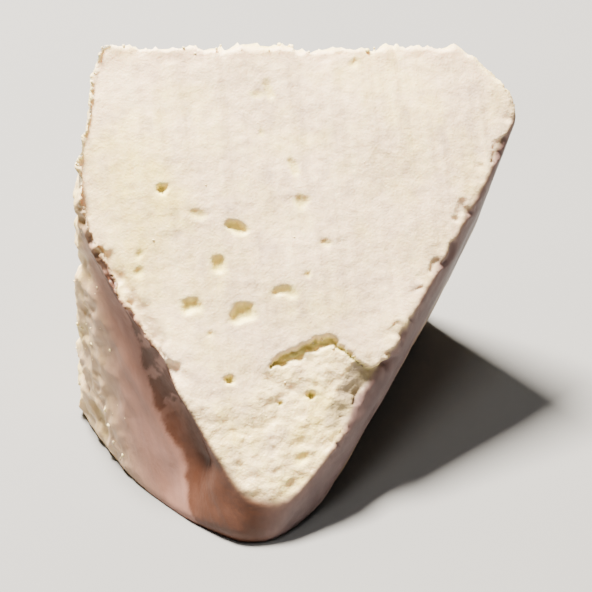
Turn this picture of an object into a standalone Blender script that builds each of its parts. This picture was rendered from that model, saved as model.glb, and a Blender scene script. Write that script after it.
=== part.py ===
"""A broken-off chunk of soft white sheep's milk cheese, one solid, lying on its flat base.

The chunk is a block trimmed by straight cuts, each named below. Its edges are worn round, and
every side then gets its own relief: knife marks, eyes and a crack on the cut face, folds and a
flared foot on the skin, crags where the cheese was broken.

Sizes are in millimetres and turned into metres in the mesh. The origin is the foot's centre,
+Z is up and +Y is away from the tip.
"""
import math
import bpy
import bmesh
import numpy as np
from mathutils import Vector, noise

MM = 0.001

# Straight cuts: azimuth of the outward side, lean of the wall off upright (up is positive),
# and how far the wall stands from the foot centre, measured along the base
CUTS = {
    "cut_face": (-78.5, 41.0, 44.6),
    "tip": (-83.3, 19.0, 40.9),
    "turn_left": (-120.8, 13.2, 41.5),
    "skin_left": (-137.5, -4.0, 33.4),
    "chip_left": (-152.0, 1.0, 40.6),
    "broken_left": (170.0, 3.0, 45.8),
    "back": (96.5, 13.0, 40.9),
    "shoulder_right": (-16.1, -15.1, 22.3),
    "skin_right": (-21.0, -21.4, 16.0),
    "skin_band": (-44.9, 10.0, 30.6),
    "skin_nose": (-45.5, -2.7, 26.9),
    "broken_right": (42.0, -4.0, 44.2),
    "broken_top": (26.3, 42.2, 110.6),
}
BROKEN = ("chip_left", "broken_left", "broken_right", "broken_top")
RIGHT_SKIN = ("skin_band", "skin_nose", "skin_right", "shoulder_right")
SKIN = ("tip", "turn_left", "skin_left") + RIGHT_SKIN

# How worn the edges are: between two walls, and where the knife left a crisp rim
WALL_SOFTNESS = 0.9
RIM_SOFTNESS = 0.2

# A point on the cut face low over the tip, from which its own u and v are measured
FACE_POINT = (-2.7, -38.7, 8.2)

# Left skin: how far its foot flares out and the block's lean there, how far below the rim that
# starts, and the depth of the hollow between
FLARE = 6.8
FLARE_LEAN = 7.0
FLARE_DROP = 12.0
HOLLOW_DEPTH = 2.6

# Rim heights between which the flare dies out towards the tip
TIP_RIM = 13.0
FULL_RIM = 26.0

# The face falls away left of a line
LEFT_LINE = -15.0
LEFT_FALL = 0.13

# Below the crack the cheese is crumbly: the band over which that fades, on the right and on the
# left, and how far the crumbly part has sunk, low on the face and at the crack
FADE_RIGHT = 2.0
FADE_LEFT = 14.0
SUNK_LOW = 0.3
SUNK_AT_CRACK = 0.9

# Relief of the sides, each as height and width of its largest bumps
FACE_SWELL = (0.9, 26.0)
KNIFE_MARKS = (0.22, 3.0)
CRUMBLY = (0.6, 5.5)
FACE_GRAIN = (0.1, 2.5)
BACK_LUMPS = (1.5, 16.0)
BACK_CRUMBS = (0.5, 4.0)
SKIN_SLACK = (0.5, 14.0)
SKIN_FOLDS = (0.35, 4.0)
CRAGS = (1.3, 9.0)
CRAG_CRUMBS = (0.5, 3.5)
RIDGE_WAVES = (1.1, 13.0)
RIDGE_CRUMBS = (0.7, 4.0)
FLAKE_CRUMBS = (0.5, 2.6)

# How far the crags sink on average
CRAG_SINK = 0.8

# How much the knife marks and the folds are drawn out lengthwise
MARK_STRETCH = 0.08
FOLD_STRETCH = 0.15

# How far from the edge the ridge is uneven and the left rim has lost flakes, and how wide and
# thick those were
RIDGE_REACH = 5.0
FLAKE_REACH = 5.5
FLAKE_SIZE = 6.0
FLAKE_DEPTH = 1.8

# Right rim: width and depth of the small chips along it, and of the larger flake that is off
# where the crack ends
CHIP_REACH = 3.0
CHIP_SIZE = 3.5
CHIP_DEPTH = 0.7
CHIP_CRUMBS = (0.2, 1.5)
FACET_REACH = 4.5
FACET_DEPTH = 1.6

# Height over the base within which the relief fades out
FOOT_FADE = 3.0

# Eyes of the cut face: u, v, width, height, turn in degrees, depth
FACE_EYES = (
    (-1.5, 56.0, 4.2, 2.5, -28, 1.1),
    (-5.7, 48.6, 2.4, 3.6, 14, 1.0),
    (-2.2, 38.6, 4.6, 3.6, 0, 1.1),
    (-12.3, 41.4, 3.4, 3.3, 20, 0.9),
    (6.7, 41.7, 4.8, 2.4, -20, 0.6),
    (12.5, 59.4, 2.2, 2.8, -30, 0.45),
    (11.8, 66.8, 1.5, 3.6, 8, 0.4),
    (16.3, 50.6, 2.2, 1.5, 0, 0.4),
    (-15.2, 65.3, 1.5, 1.8, 0, 1.2),
    (-21.2, 52.7, 1.4, 1.7, 5, 0.45),
    (-21.7, 49.4, 1.5, 2.0, 0, 0.45),
    (6.6, 74.7, 1.2, 2.0, 0, 0.3),
    (8.8, 82.9, 1.4, 3.6, 5, 0.3),
    (6.4, 82.3, 2.4, 1.3, 0, 0.2),
    (-8.8, 59.6, 3.2, 1.4, -25, 0.3),
    (-6.7, 26.0, 1.5, 1.5, 0, 1.1),
    (9.5, 21.0, 1.9, 1.6, 30, 1.1),
    (3.2, 19.7, 1.1, 1.1, 0, 0.7),
    (11.7, 45.0, 1.2, 1.2, 0, 0.4),
    (-8.9, 35.1, 1.5, 1.2, 0, 0.4),
    (5.7, 8.7, 2.8, 2.2, 20, 0.4),
    (26.9, 86.7, 2.0, 1.4, 30, 0.3),
)
BACK_EYE_COUNT = 26
BACK_EYE_SIZES = (1.6, 4.4)
BACK_EYE_GAP = 5.5

# Crack across the cut face: u and v of its bends, then its width and depth
CRACK_PATH = (
    (1.5, 27.6), (3.4, 28.5), (5.0, 28.5), (7.3, 29.0), (10.2, 30.2), (13.1, 30.9),
    (15.3, 30.6), (17.3, 28.7), (18.8, 26.9), (20.3, 25.6), (22.4, 24.2), (25.3, 25.2),
    (28.0, 26.8),
)
CRACK_WIDTH = 1.8
CRACK_DEPTH = 1.3

# How far the outlines of eyes and crack wander, and over what length
RAGGED = 0.7
RAGGED_SIZE = 2.2

# Where the middle of the finished chunk's box comes out, which becomes the origin
BOX_CENTRE = (0.0, 0.9, 0.0)

# Points this low are set level with the base
BASE_TRUE = 0.12

ROUGH_VOXEL = 2.0
FINE_VOXEL = 0.85
TRIANGLES = 9600
SEED = 7


def smooth_step(low, high, value):
    """0 below low, 1 above high, a smooth rise between."""
    t = np.clip((value - low) / (high - low), 0.0, 1.0)
    return t * t * (3.0 - 2.0 * t)


def direction(azimuth, lean):
    """Unit vector that points at an azimuth and rises by the lean, both in degrees."""
    a = math.radians(azimuth)
    b = math.radians(lean)
    return np.array((math.cos(a) * math.cos(b), math.sin(a) * math.cos(b), math.sin(b)))


def swell(points, size, seed, octaves=3):
    """Fractal unevenness of about -1 to 1, whose largest bumps have the given size."""
    shift = Vector((17.3 * seed, -9.1 * seed, 5.7 * seed))
    scaled = points / size
    return np.array([noise.fractal(Vector(p) + shift, 1.0, 2.0, octaves) for p in scaled])


def bumps(points, kind, seed, octaves=3):
    """Unevenness in millimetres, from the height and the width of its largest bumps."""
    height, size = kind
    return height * swell(points, size, seed, octaves)


class Side:
    """One straight cut: its outward direction and how far it lies from the origin."""

    def __init__(self, azimuth, lean, reach):
        self.out = direction(azimuth, lean)
        self.level = direction(azimuth, 0.0)
        self.offset = reach * float(self.out @ self.level)

    def height_over(self, points):
        """Signed distance of points outside this cut."""
        return points @ self.out - self.offset


SIDES = {name: Side(*sizes) for name, sizes in CUTS.items()}
FACE = SIDES["cut_face"]
FACE_U = np.array((-FACE.level[1], FACE.level[0], 0.0))
FACE_V = np.cross(FACE.out, FACE_U)
BACK = SIDES["back"]
BACK_U = np.array((-BACK.level[1], BACK.level[0], 0.0))
BACK_V = np.cross(BACK.out, BACK_U)


def below_rim(points):
    """Height of the cut face's plane straight above each point."""
    return -FACE.height_over(points) / FACE.out[2]


def left_foot(points):
    """How far the left skin stands out of its straight cut: flared foot, hollow under the rim."""
    drop = np.maximum(below_rim(points), 0.0)
    rim_height = np.maximum(points[:, 2] + drop, 1.0)
    away_from_tip = smooth_step(TIP_RIM, FULL_RIM, rim_height)
    start = FLARE_DROP * away_from_tip
    share = np.clip((drop - start) / np.maximum(rim_height - start, 1.0), 0.0, 1.0)
    band = np.clip(drop / FLARE_DROP, 0.0, 1.3)
    hollow = HOLLOW_DEPTH * away_from_tip * np.sin(np.pi * band / 1.3)
    return FLARE * share ** 1.15 - hollow


def soft_top(values, softness):
    """Largest of several rows of values, eased where two are close, and each row's share in it."""
    scaled = values / softness
    top = scaled.max(axis=0)
    powers = np.exp(scaled - top)
    total = powers.sum(axis=0)
    return softness * (top + np.log(total)), powers / total


def side_weights(points):
    """The rounded form's signed distance, and how much each side counts at each point."""
    distances = [-points[:, 2]]
    for name, side in SIDES.items():
        if name == "cut_face":
            continue
        distance = side.height_over(points)
        if name == "skin_left":
            distance = distance - left_foot(points)
        distances.append(distance)
    walls, shares = soft_top(np.array(distances), WALL_SOFTNESS)
    field, (face_share, rest) = soft_top(np.array((FACE.height_over(points), walls)), RIM_SOFTNESS)
    shares = shares * rest
    return field, np.vstack((shares[:1], face_share[None], shares[1:]))


def surface_normals(weights):
    """Outward directions as the weighted mean of the sides' own."""
    outs = np.array([(0.0, 0.0, -1.0)] + [side.out for side in SIDES.values()])
    normals = weights.T @ outs
    return normals / np.linalg.norm(normals, axis=1, keepdims=True)


def settle(points, steps=8):
    """Move points onto the rounded form."""
    for _ in range(steps):
        field, weights = side_weights(points)
        normals = surface_normals(weights)
        points = points - np.clip(field, -1.5, 1.5)[:, None] * normals
    return points


def weight_of(weights, names):
    """Summed weight of the named sides."""
    order = ["base"] + list(SIDES)
    return sum(weights[order.index(name)] for name in names)


def eye_depth(u, v, eye):
    """Depth of one eye, a round-bottomed oval pit."""
    centre_u, centre_v, width, height, turn, depth = eye
    angle = math.radians(turn)
    across = math.cos(angle) * (u - centre_u) + math.sin(angle) * (v - centre_v)
    along = -math.sin(angle) * (u - centre_u) + math.cos(angle) * (v - centre_v)
    ring = (across / (0.5 * width)) ** 2 + (along / (0.5 * height)) ** 2
    return depth * (1.0 - smooth_step(0.25, 1.35, ring))


def crack_depth(u, v):
    """Depth of the crack: full where the face gapes, a fine line towards both ends."""
    best = np.full(len(u), 1e9)
    width = np.zeros(len(u))
    for (u0, v0), (u1, v1) in zip(CRACK_PATH, CRACK_PATH[1:]):
        length = math.hypot(u1 - u0, v1 - v0)
        share = np.clip(((u - u0) * (u1 - u0) + (v - v0) * (v1 - v0)) / length ** 2, 0.0, 1.0)
        away = np.hypot(u - u0 - share * (u1 - u0), v - v0 - share * (v1 - v0))
        here = u0 + share * (u1 - u0)
        gape = smooth_step(1.5, 5.0, here) * (1.0 - smooth_step(14.5, 20.0, here))
        nearer = away < best
        best = np.where(nearer, away, best)
        width = np.where(nearer, CRACK_WIDTH * (0.25 + 0.75 * gape), width)
    return CRACK_DEPTH * np.sqrt(width / CRACK_WIDTH) * (1.0 - smooth_step(0.25, 0.75, best / width))


def crack_height(u):
    """Height v of the crack over the face's width, which parts smooth from crumbly cheese."""
    us = [point[0] for point in CRACK_PATH]
    vs = [point[1] for point in CRACK_PATH]
    return np.interp(u, us, vs)


def face_places(points):
    """Places of points across, up and out of the cut face."""
    local = points - np.array(FACE_POINT)
    return local @ FACE_U, local @ FACE_V, local @ FACE.out


def face_relief(points):
    """Relief of the cut face: knife marks above the crack, crumbly cheese below it."""
    u, v, _ = face_places(points)
    flat = np.stack((u, v, np.zeros(len(u))), axis=1)
    over_crack = v - crack_height(u)
    fade = FADE_LEFT + (FADE_RIGHT - FADE_LEFT) * smooth_step(-6.0, 3.0, u)
    crumbly = 1.0 - smooth_step(0.0, 1.0, 1.0 + (over_crack - 0.5) / fade)
    relief = bumps(flat, FACE_SWELL, 2, 2)
    relief += (1.0 - crumbly) * bumps(flat * (1.0, MARK_STRETCH, 1.0), KNIFE_MARKS, 1)
    ledge = SUNK_LOW + (SUNK_AT_CRACK - SUNK_LOW) * smooth_step(-12.0, 0.0, over_crack)
    relief += crumbly * (bumps(flat, CRUMBLY, 3) - ledge * smooth_step(1.0, 7.0, u))
    relief -= LEFT_FALL * np.logaddexp(0.0, LEFT_LINE - u)
    relief += bumps(flat, FACE_GRAIN, 4)
    ragged_u = u + RAGGED * swell(flat, RAGGED_SIZE, 14)
    ragged_v = v + RAGGED * swell(flat, RAGGED_SIZE, 15)
    for eye in FACE_EYES:
        relief -= eye_depth(ragged_u, ragged_v, eye)
    return relief - crack_depth(ragged_u, ragged_v) * (1.0 + 0.5 * swell(flat, 1.6, 16))


def back_eyes():
    """Eyes strewn evenly over the back by a seeded draw."""
    draw = np.random.default_rng(SEED)
    eyes = []
    while len(eyes) < BACK_EYE_COUNT:
        u, v = draw.uniform((-34.0, 8.0), (36.0, 74.0))
        size = draw.uniform(*BACK_EYE_SIZES)
        clear = all(math.hypot(u - e[0], v - e[1]) > BACK_EYE_GAP for e in eyes)
        if clear:
            eyes.append((u, v, size, size * draw.uniform(0.6, 1.0), draw.uniform(-60, 60), 0.45 * size))
    return eyes


def back_relief(points):
    """Relief of the torn back: broad lumps, small crumbs and eyes."""
    u = points @ BACK_U
    v = points @ BACK_V
    relief = bumps(points, BACK_LUMPS, 5) + bumps(points, BACK_CRUMBS, 6)
    for eye in back_eyes():
        relief -= eye_depth(u, v, eye)
    return relief


def skin_relief(points):
    """Relief of the smooth skin: slack folds that run along the rim."""
    u, v, out = face_places(points)
    drawn_out = np.stack((FOLD_STRETCH * u, FOLD_STRETCH * v, out), axis=1)
    return bumps(points, SKIN_SLACK, 9, 2) + bumps(drawn_out, SKIN_FOLDS, 8)


def broken_relief(points):
    """Crags where the cheese was broken by hand."""
    height, size = CRAGS
    ridged = 1.0 - 2.0 * np.abs(swell(points, size, 10))
    return height * ridged - CRAG_SINK + bumps(points, CRAG_CRUMBS, 11)


def near_edge(first, second, reach):
    """1 on the edge between two sides, falling to 0 at the reach, from distances inside both."""
    return 1.0 - smooth_step(0.1 * reach, reach, np.maximum(first, second))


def ridge_relief(points):
    """Ups and downs of the ridge where the torn back meets the cut face."""
    near = near_edge(-FACE.height_over(points), -BACK.height_over(points), RIDGE_REACH)
    along = points * (1.0, 0.0, 0.0)
    return near * (bumps(along, RIDGE_WAVES, 18, 2) + bumps(points, RIDGE_CRUMBS, 12))


def left_rim_relief(points):
    """Small flakes broken off the upper part of the left rim."""
    _, v, _ = face_places(points)
    inside = left_foot(points) - SIDES["skin_left"].height_over(points)
    near = near_edge(0.8 * below_rim(points), inside, FLAKE_REACH) * smooth_step(24.0, 31.0, v)
    flakes = smooth_step(-0.15, 0.25, swell(points, FLAKE_SIZE, 17))
    return near * (bumps(points, FLAKE_CRUMBS, 13) - FLAKE_DEPTH * flakes)


def right_rim_relief(points):
    """Small chips along the knife's edge over the right skin, and a flake off below the crack."""
    u, v, _ = face_places(points)
    inside = -np.max([SIDES[name].height_over(points) for name in RIGHT_SKIN], axis=0)
    drops = 0.8 * below_rim(points)
    near = near_edge(drops, inside, CHIP_REACH) * smooth_step(3.0, 12.0, v)
    chips = smooth_step(0.1, 0.4, swell(points, CHIP_SIZE, 25))
    below_crack = smooth_step(-0.5, 0.5, crack_height(u) - v) * smooth_step(12.0, 17.0, v)
    facet = np.clip(1.0 - np.maximum(drops, inside) / FACET_REACH, 0.0, 1.0)
    return near * (bumps(points, CHIP_CRUMBS, 26) - CHIP_DEPTH * chips) - FACET_DEPTH * below_crack * facet


def relief_of(points, weights):
    """How far each point stands out of the rounded form."""
    relief = weight_of(weights, ("cut_face",)) * face_relief(points)
    relief += weight_of(weights, ("back",)) * back_relief(points)
    relief += weight_of(weights, SKIN) * skin_relief(points)
    relief += weight_of(weights, BROKEN) * broken_relief(points)
    return relief * (0.15 + 0.85 * smooth_step(0.0, FOOT_FADE, points[:, 2]))


def edge_relief(points):
    """How the ridge and both rims stand out or are broken off, as vectors between their two sides."""
    moved = np.zeros(points.shape)
    for name, stand_out in EDGES.items():
        both = FACE.out + SIDES[name].out
        moved += stand_out(points)[:, None] * both / np.linalg.norm(both)
    return moved * smooth_step(0.0, FOOT_FADE, points[:, 2])[:, None]


EDGES = {"back": ridge_relief, "skin_left": left_rim_relief, "skin_right": right_rim_relief}


def shaped(points):
    """Points of the finished chunk, from points near its surface."""
    points = settle(points)
    _, weights = side_weights(points)
    outward = relief_of(points, weights)[:, None] * surface_normals(weights)
    points = points + outward + edge_relief(points)
    on_base = weights[0] > 0.5
    points[on_base, 2] = 0.0
    points[:, 2] = np.maximum(points[:, 2], 0.0)
    return points


def trimmed_block():
    """The straight-sided block, cut side by side out of a larger box."""
    solid = bmesh.new()
    bmesh.ops.create_cube(solid, size=0.3)
    knives = [((0.0, 0.0, 0.0), (0.0, 0.0, -1.0))]
    for name, (azimuth, lean, reach) in CUTS.items():
        side = SIDES[name]
        if name == "skin_left":
            side = Side(azimuth, FLARE_LEAN, reach + FLARE)
        knives.append((side.out * side.offset * MM, side.out))
    for place, out in knives:
        everything = solid.verts[:] + solid.edges[:] + solid.faces[:]
        bmesh.ops.bisect_plane(solid, geom=everything, plane_co=Vector(place), plane_no=Vector(out),
                               clear_outer=True)
        rim = [edge for edge in solid.edges if edge.is_boundary]
        bmesh.ops.contextual_create(solid, geom=rim)
    bmesh.ops.recalc_face_normals(solid, faces=solid.faces[:])
    mesh = bpy.data.meshes.new("cheese")
    solid.to_mesh(mesh)
    solid.free()
    return mesh


def read_points(mesh):
    """Vertex places of a mesh in millimetres."""
    flat = np.empty(3 * len(mesh.vertices))
    mesh.vertices.foreach_get("co", flat)
    return flat.reshape(-1, 3) / MM


def write_points(mesh, points):
    """Put vertex places in millimetres back into a mesh."""
    mesh.vertices.foreach_set("co", (points * MM).ravel())
    mesh.update()


def bake_modifier(item):
    """Replace an object's mesh by what its modifiers make of it."""
    graph = bpy.context.evaluated_depsgraph_get()
    result = bpy.data.meshes.new_from_object(item.evaluated_get(graph))
    item.modifiers.clear()
    item.data = result


def even_out(item, voxel):
    """Give the object an even skin of small squares."""
    skin = item.modifiers.new("Even skin", "REMESH")
    skin.mode = "VOXEL"
    skin.voxel_size = voxel * MM
    bake_modifier(item)


def thin_out(item, triangles):
    """Bring the mesh down to about the given number of triangles, keeping pits and edges."""
    squares = len(item.data.polygons)
    fewer = item.modifiers.new("Fewer faces", "DECIMATE")
    fewer.ratio = triangles / (2.0 * squares)
    fewer.use_collapse_triangulate = True
    bake_modifier(item)


def cheese_material():
    """Off-white curd, slightly moist."""
    material = bpy.data.materials.new("curd")
    material.use_nodes = True
    shader = material.node_tree.nodes["Principled BSDF"]
    shader.inputs["Base Color"].default_value = (0.83, 0.76, 0.64, 1.0)
    shader.inputs["Roughness"].default_value = 0.55
    shader.inputs["Metallic"].default_value = 0.0
    return material


def make_cheese():
    """Build the chunk as one closed solid on its flat base."""
    item = bpy.data.objects.new("cheese", trimmed_block())
    bpy.context.scene.collection.objects.link(item)
    for voxel in (ROUGH_VOXEL, FINE_VOXEL):
        even_out(item, voxel)
        write_points(item.data, settle(read_points(item.data)))
    write_points(item.data, shaped(read_points(item.data)))
    thin_out(item, TRIANGLES)
    points = read_points(item.data)
    points[points[:, 2] < BASE_TRUE, 2] = 0.0
    write_points(item.data, points - np.array(BOX_CENTRE))
    item.data.materials.clear()
    item.data.materials.append(cheese_material())
    item.data.shade_smooth()
    return item


def main():
    for item in list(bpy.data.objects):
        bpy.data.objects.remove(item, do_unlink=True)
    make_cheese()


main()
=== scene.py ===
"""Looks of a broken-off chunk of soft white sheep's milk cheese on a pale floor.

The chunk's form is the same as in the model's source: straight cuts, worn edges, a flared foot
and relief on every side. Here its skin is much finer, so that grain, knife marks, the crack and
the eyes are real shape. Sizes are in millimetres in the row frame and turned into metres in the
meshes.
"""
import logging
import math
from dataclasses import dataclass, field
from enum import Enum
from typing import Sequence

import bmesh
import bpy
import numpy as np
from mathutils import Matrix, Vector, noise


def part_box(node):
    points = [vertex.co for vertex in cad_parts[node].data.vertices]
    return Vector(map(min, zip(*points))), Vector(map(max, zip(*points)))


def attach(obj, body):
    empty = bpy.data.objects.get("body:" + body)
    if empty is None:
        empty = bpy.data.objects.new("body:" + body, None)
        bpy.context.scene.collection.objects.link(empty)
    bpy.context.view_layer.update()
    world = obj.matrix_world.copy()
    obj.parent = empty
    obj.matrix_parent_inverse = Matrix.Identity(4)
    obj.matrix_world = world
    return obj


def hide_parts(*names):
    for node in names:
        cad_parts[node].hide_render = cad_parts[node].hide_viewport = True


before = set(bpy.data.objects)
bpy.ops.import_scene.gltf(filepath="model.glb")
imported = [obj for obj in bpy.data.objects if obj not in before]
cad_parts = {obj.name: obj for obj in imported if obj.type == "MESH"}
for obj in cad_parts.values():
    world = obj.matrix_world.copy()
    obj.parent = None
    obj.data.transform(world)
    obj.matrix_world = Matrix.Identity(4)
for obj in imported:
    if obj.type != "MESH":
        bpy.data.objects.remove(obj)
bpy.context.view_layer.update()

LOG = logging.getLogger("cheese")
MM = 0.001
NODE = "cheese"


class Zone(Enum):
    """What kind of surface a side of the chunk has."""

    CUT = "cut face"
    SKIN = "skin"
    BACK = "torn back"
    BROKEN = "broken by hand"


def smooth_step(low: float, high: float, value: np.ndarray) -> np.ndarray:
    """Rise smoothly from 0 to 1 between two limits.

    Args:
        low: Value at and below which the result is 0.
        high: Value at and above which the result is 1.
        value: Values to ease.

    Returns:
        The eased values.
    """
    t = np.clip((value - low) / (high - low), 0.0, 1.0)
    return t * t * (3.0 - 2.0 * t)


def direction(azimuth: float, lean: float) -> np.ndarray:
    """Find the unit vector at an azimuth that rises by a lean.

    Args:
        azimuth: Degrees round +Z from +X.
        lean: Degrees above the level.

    Returns:
        A unit vector.
    """
    a = math.radians(azimuth)
    b = math.radians(lean)
    return np.array((math.cos(a) * math.cos(b), math.sin(a) * math.cos(b), math.sin(b)))


# How far apart two patterns of unevenness lie in the noise
PATTERN_STEP = (17.3, -9.1, 5.7)

# Part of an edge's reach over which it is felt in full
EDGE_CORE = 0.1


def swell(points: np.ndarray, size: float, seed: int, octaves: int = 3) -> np.ndarray:
    """Fractal unevenness at points.

    Args:
        points: Places in millimetres, one row each.
        size: Width of the largest bumps in millimetres.
        seed: Picks one pattern out of many.
        octaves: Number of finer layers.

    Returns:
        One value of about -1 to 1 for each point.
    """
    shift = Vector([step * seed for step in PATTERN_STEP])
    scaled = points / size
    return np.array([noise.fractal(Vector(p) + shift, 1.0, 2.0, octaves) for p in scaled])


def soft_top(values: np.ndarray, softness: float) -> tuple[np.ndarray, np.ndarray]:
    """Largest of several values, eased where two of them are close.

    Args:
        values: One row for each thing compared.
        softness: How close two values are when the result starts to ease.

    Returns:
        The eased largest values, and each row's share in them.
    """
    scaled = values / softness
    top = scaled.max(axis=0)
    powers = np.exp(scaled - top)
    total = powers.sum(axis=0)
    return softness * (top + np.log(total)), powers / total


def near_edge(first: np.ndarray, second: np.ndarray, reach: float) -> np.ndarray:
    """Find how near points are to the edge between two sides.

    Args:
        first: Distances inside one side.
        second: Distances inside the other.
        reach: Distance at which the result has fallen to 0.

    Returns:
        Values from 1 on the edge to 0.
    """
    return 1.0 - smooth_step(EDGE_CORE * reach, reach, np.maximum(first, second))


@dataclass(frozen=True)
class Cut:
    """One straight side: azimuth and lean of its outward direction, and its reach at the base."""

    name: str
    zone: Zone
    azimuth: float
    lean: float
    reach: float

    @property
    def out(self) -> np.ndarray:
        """Outward unit vector."""
        return direction(self.azimuth, self.lean)

    @property
    def level(self) -> np.ndarray:
        """Level part of the outward direction, as a unit vector."""
        return direction(self.azimuth, 0.0)

    @property
    def offset(self) -> float:
        """Distance of the side's plane from the origin."""
        return self.reach * float(self.out @ self.level)

    def height_over(self, points: np.ndarray) -> np.ndarray:
        """Signed distance of points outside this side."""
        return points @ self.out - self.offset

    def frame_of(self) -> tuple[np.ndarray, np.ndarray]:
        """Unit vectors across and up the side."""
        across = np.array((-self.level[1], self.level[0], 0.0))
        return across, np.cross(self.out, across)


CUTS = (
    Cut("cut_face", Zone.CUT, -78.5, 41.0, 44.6),
    Cut("tip", Zone.SKIN, -83.3, 19.0, 40.9),
    Cut("turn_left", Zone.SKIN, -120.8, 13.2, 41.5),
    Cut("skin_left", Zone.SKIN, -137.5, -4.0, 33.4),
    Cut("chip_left", Zone.BROKEN, -152.0, 1.0, 40.6),
    Cut("broken_left", Zone.BROKEN, 170.0, 3.0, 45.8),
    Cut("back", Zone.BACK, 96.5, 13.0, 40.9),
    Cut("shoulder_right", Zone.SKIN, -16.1, -15.1, 22.3),
    Cut("skin_right", Zone.SKIN, -21.0, -21.4, 16.0),
    Cut("skin_band", Zone.SKIN, -44.9, 10.0, 30.6),
    Cut("skin_nose", Zone.SKIN, -45.5, -2.7, 26.9),
    Cut("broken_right", Zone.BROKEN, 42.0, -4.0, 44.2),
    Cut("broken_top", Zone.BROKEN, 26.3, 42.2, 110.6),
)
LEFT_SKIN = ("skin_left", "turn_left", "tip")
RIGHT_SKIN = ("skin_band", "skin_nose", "skin_right", "shoulder_right")


@dataclass(frozen=True)
class Flare:
    """The left skin's foot: how far it stands out, and the hollow between it and the rim."""

    out: float = 6.8
    lean: float = 7.0
    drop: float = 12.0
    hollow: float = 2.6
    tip_rim: float = 13.0
    full_rim: float = 26.0
    hollow_end: float = 1.3
    curve: float = 1.15

    def stand_out(self, heights: np.ndarray, drops: np.ndarray) -> np.ndarray:
        """How far the skin stands out of its straight cut.

        Args:
            heights: Heights over the base.
            drops: Heights of the cut face above the points.

        Returns:
            Millimetres outward, below 0 in the hollow.
        """
        rim = np.maximum(heights + drops, 1.0)
        away = smooth_step(self.tip_rim, self.full_rim, rim)
        start = self.drop * away
        share = np.clip((drops - start) / np.maximum(rim - start, 1.0), 0.0, 1.0)
        band = np.clip(drops / self.drop, 0.0, self.hollow_end)
        hollow = self.hollow * away * np.sin(np.pi * band / self.hollow_end)
        return self.out * share ** self.curve - hollow


@dataclass(frozen=True)
class RoundedForm:
    """The chunk before its relief: straight sides joined by worn edges."""

    cuts: tuple[Cut, ...] = CUTS
    flare: Flare = Flare()
    wall_softness: float = 0.9
    rim_softness: float = 0.2
    steps: int = 8
    longest_step: float = 1.5

    def cut(self, name: str) -> Cut:
        """Look a side up by its name."""
        return next(cut for cut in self.cuts if cut.name == name)

    def below_rim(self, points: np.ndarray) -> np.ndarray:
        """Height of the cut face's plane straight above each point."""
        face = self.cut("cut_face")
        return -face.height_over(points) / face.out[2]

    def weights(self, points: np.ndarray) -> tuple[np.ndarray, np.ndarray]:
        """Measure points against the rounded form.

        Args:
            points: Places in millimetres.

        Returns:
            Signed distances, and each side's share in them, the base first.
        """
        distances = [-points[:, 2]]
        for cut in self.cuts[1:]:
            distance = cut.height_over(points)
            if cut.name == "skin_left":
                drops = np.maximum(self.below_rim(points), 0.0)
                distance = distance - self.flare.stand_out(points[:, 2], drops)
            distances.append(distance)
        walls, wall_shares = soft_top(np.array(distances), self.wall_softness)
        face = self.cuts[0].height_over(points)
        both, (face_share, rest) = soft_top(np.array((face, walls)), self.rim_softness)
        wall_shares = wall_shares * rest
        return both, np.vstack((wall_shares[:1], face_share[None], wall_shares[1:]))

    def normals(self, shares: np.ndarray) -> np.ndarray:
        """Find the outward directions.

        Args:
            shares: Each side's share in the points, the base first.

        Returns:
            Unit vectors, each the weighted mean of the sides' own.
        """
        outs = np.array([(0.0, 0.0, -1.0)] + [cut.out for cut in self.cuts])
        normals = shares.T @ outs
        return normals / np.linalg.norm(normals, axis=1, keepdims=True)

    def settle(self, points: np.ndarray) -> np.ndarray:
        """Move points onto the rounded form.

        Args:
            points: Places close to it, in millimetres.

        Returns:
            The moved places.
        """
        for _ in range(self.steps):
            distance, shares = self.weights(points)
            step = np.clip(distance, -self.longest_step, self.longest_step)
            points = points - step[:, None] * self.normals(shares)
        return points

    def share_of(self, shares: np.ndarray, zone: Zone) -> np.ndarray:
        """Summed share of the sides of one zone."""
        rows = [row + 1 for row, cut in enumerate(self.cuts) if cut.zone is zone]
        return shares[rows].sum(axis=0)

    def named_share(self, shares: np.ndarray, names: Sequence[str]) -> np.ndarray:
        """Summed share of the named sides."""
        rows = [row + 1 for row, cut in enumerate(self.cuts) if cut.name in names]
        return shares[rows].sum(axis=0)


# Eyes: where their floor starts and their edge ends, as squares of a share of the oval
EYE_FLOOR = 0.1
EYE_REACH = 1.6

# How strongly eyes are coloured: small deep ones, and the others by their depth. Small deep ones
# reach the dark olive, painted shade in the hole.
DEEP_EYE = 0.55
DEEP_TONE = 0.85
PALEST_TONE = 0.3
TONE_BY_DEPTH = 0.4
FULL_TONE = 0.7


@dataclass(frozen=True)
class Eye:
    """One gas hole: its place on a side, its oval, its turn in degrees and its depth."""

    u: float
    v: float
    width: float
    height: float
    turn: float
    depth: float

    def cover(self, u: np.ndarray, v: np.ndarray, reach: float = EYE_REACH) -> np.ndarray:
        """Find how deep in this eye points lie.

        Args:
            u: Places across the side.
            v: Places up the side.
            reach: Where the eye ends, as the square of a share of its oval.

        Returns:
            Values from 0 outside the eye's reach to 1 on its floor.
        """
        angle = math.radians(self.turn)
        across = math.cos(angle) * (u - self.u) + math.sin(angle) * (v - self.v)
        along = -math.sin(angle) * (u - self.u) + math.cos(angle) * (v - self.v)
        ring = (across / (0.5 * self.width)) ** 2 + (along / (0.5 * self.height)) ** 2
        return 1.0 - smooth_step(EYE_FLOOR, reach, ring)

    @property
    def tone(self) -> float:
        """How strongly it is coloured: faint if shallow, darkest if small and deep, where it takes
        the dark olive as painted shade.
        """
        by_depth = min(FULL_TONE, PALEST_TONE + TONE_BY_DEPTH * self.depth)
        return DEEP_TONE if self.depth > DEEP_EYE * self.width else by_depth


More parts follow.
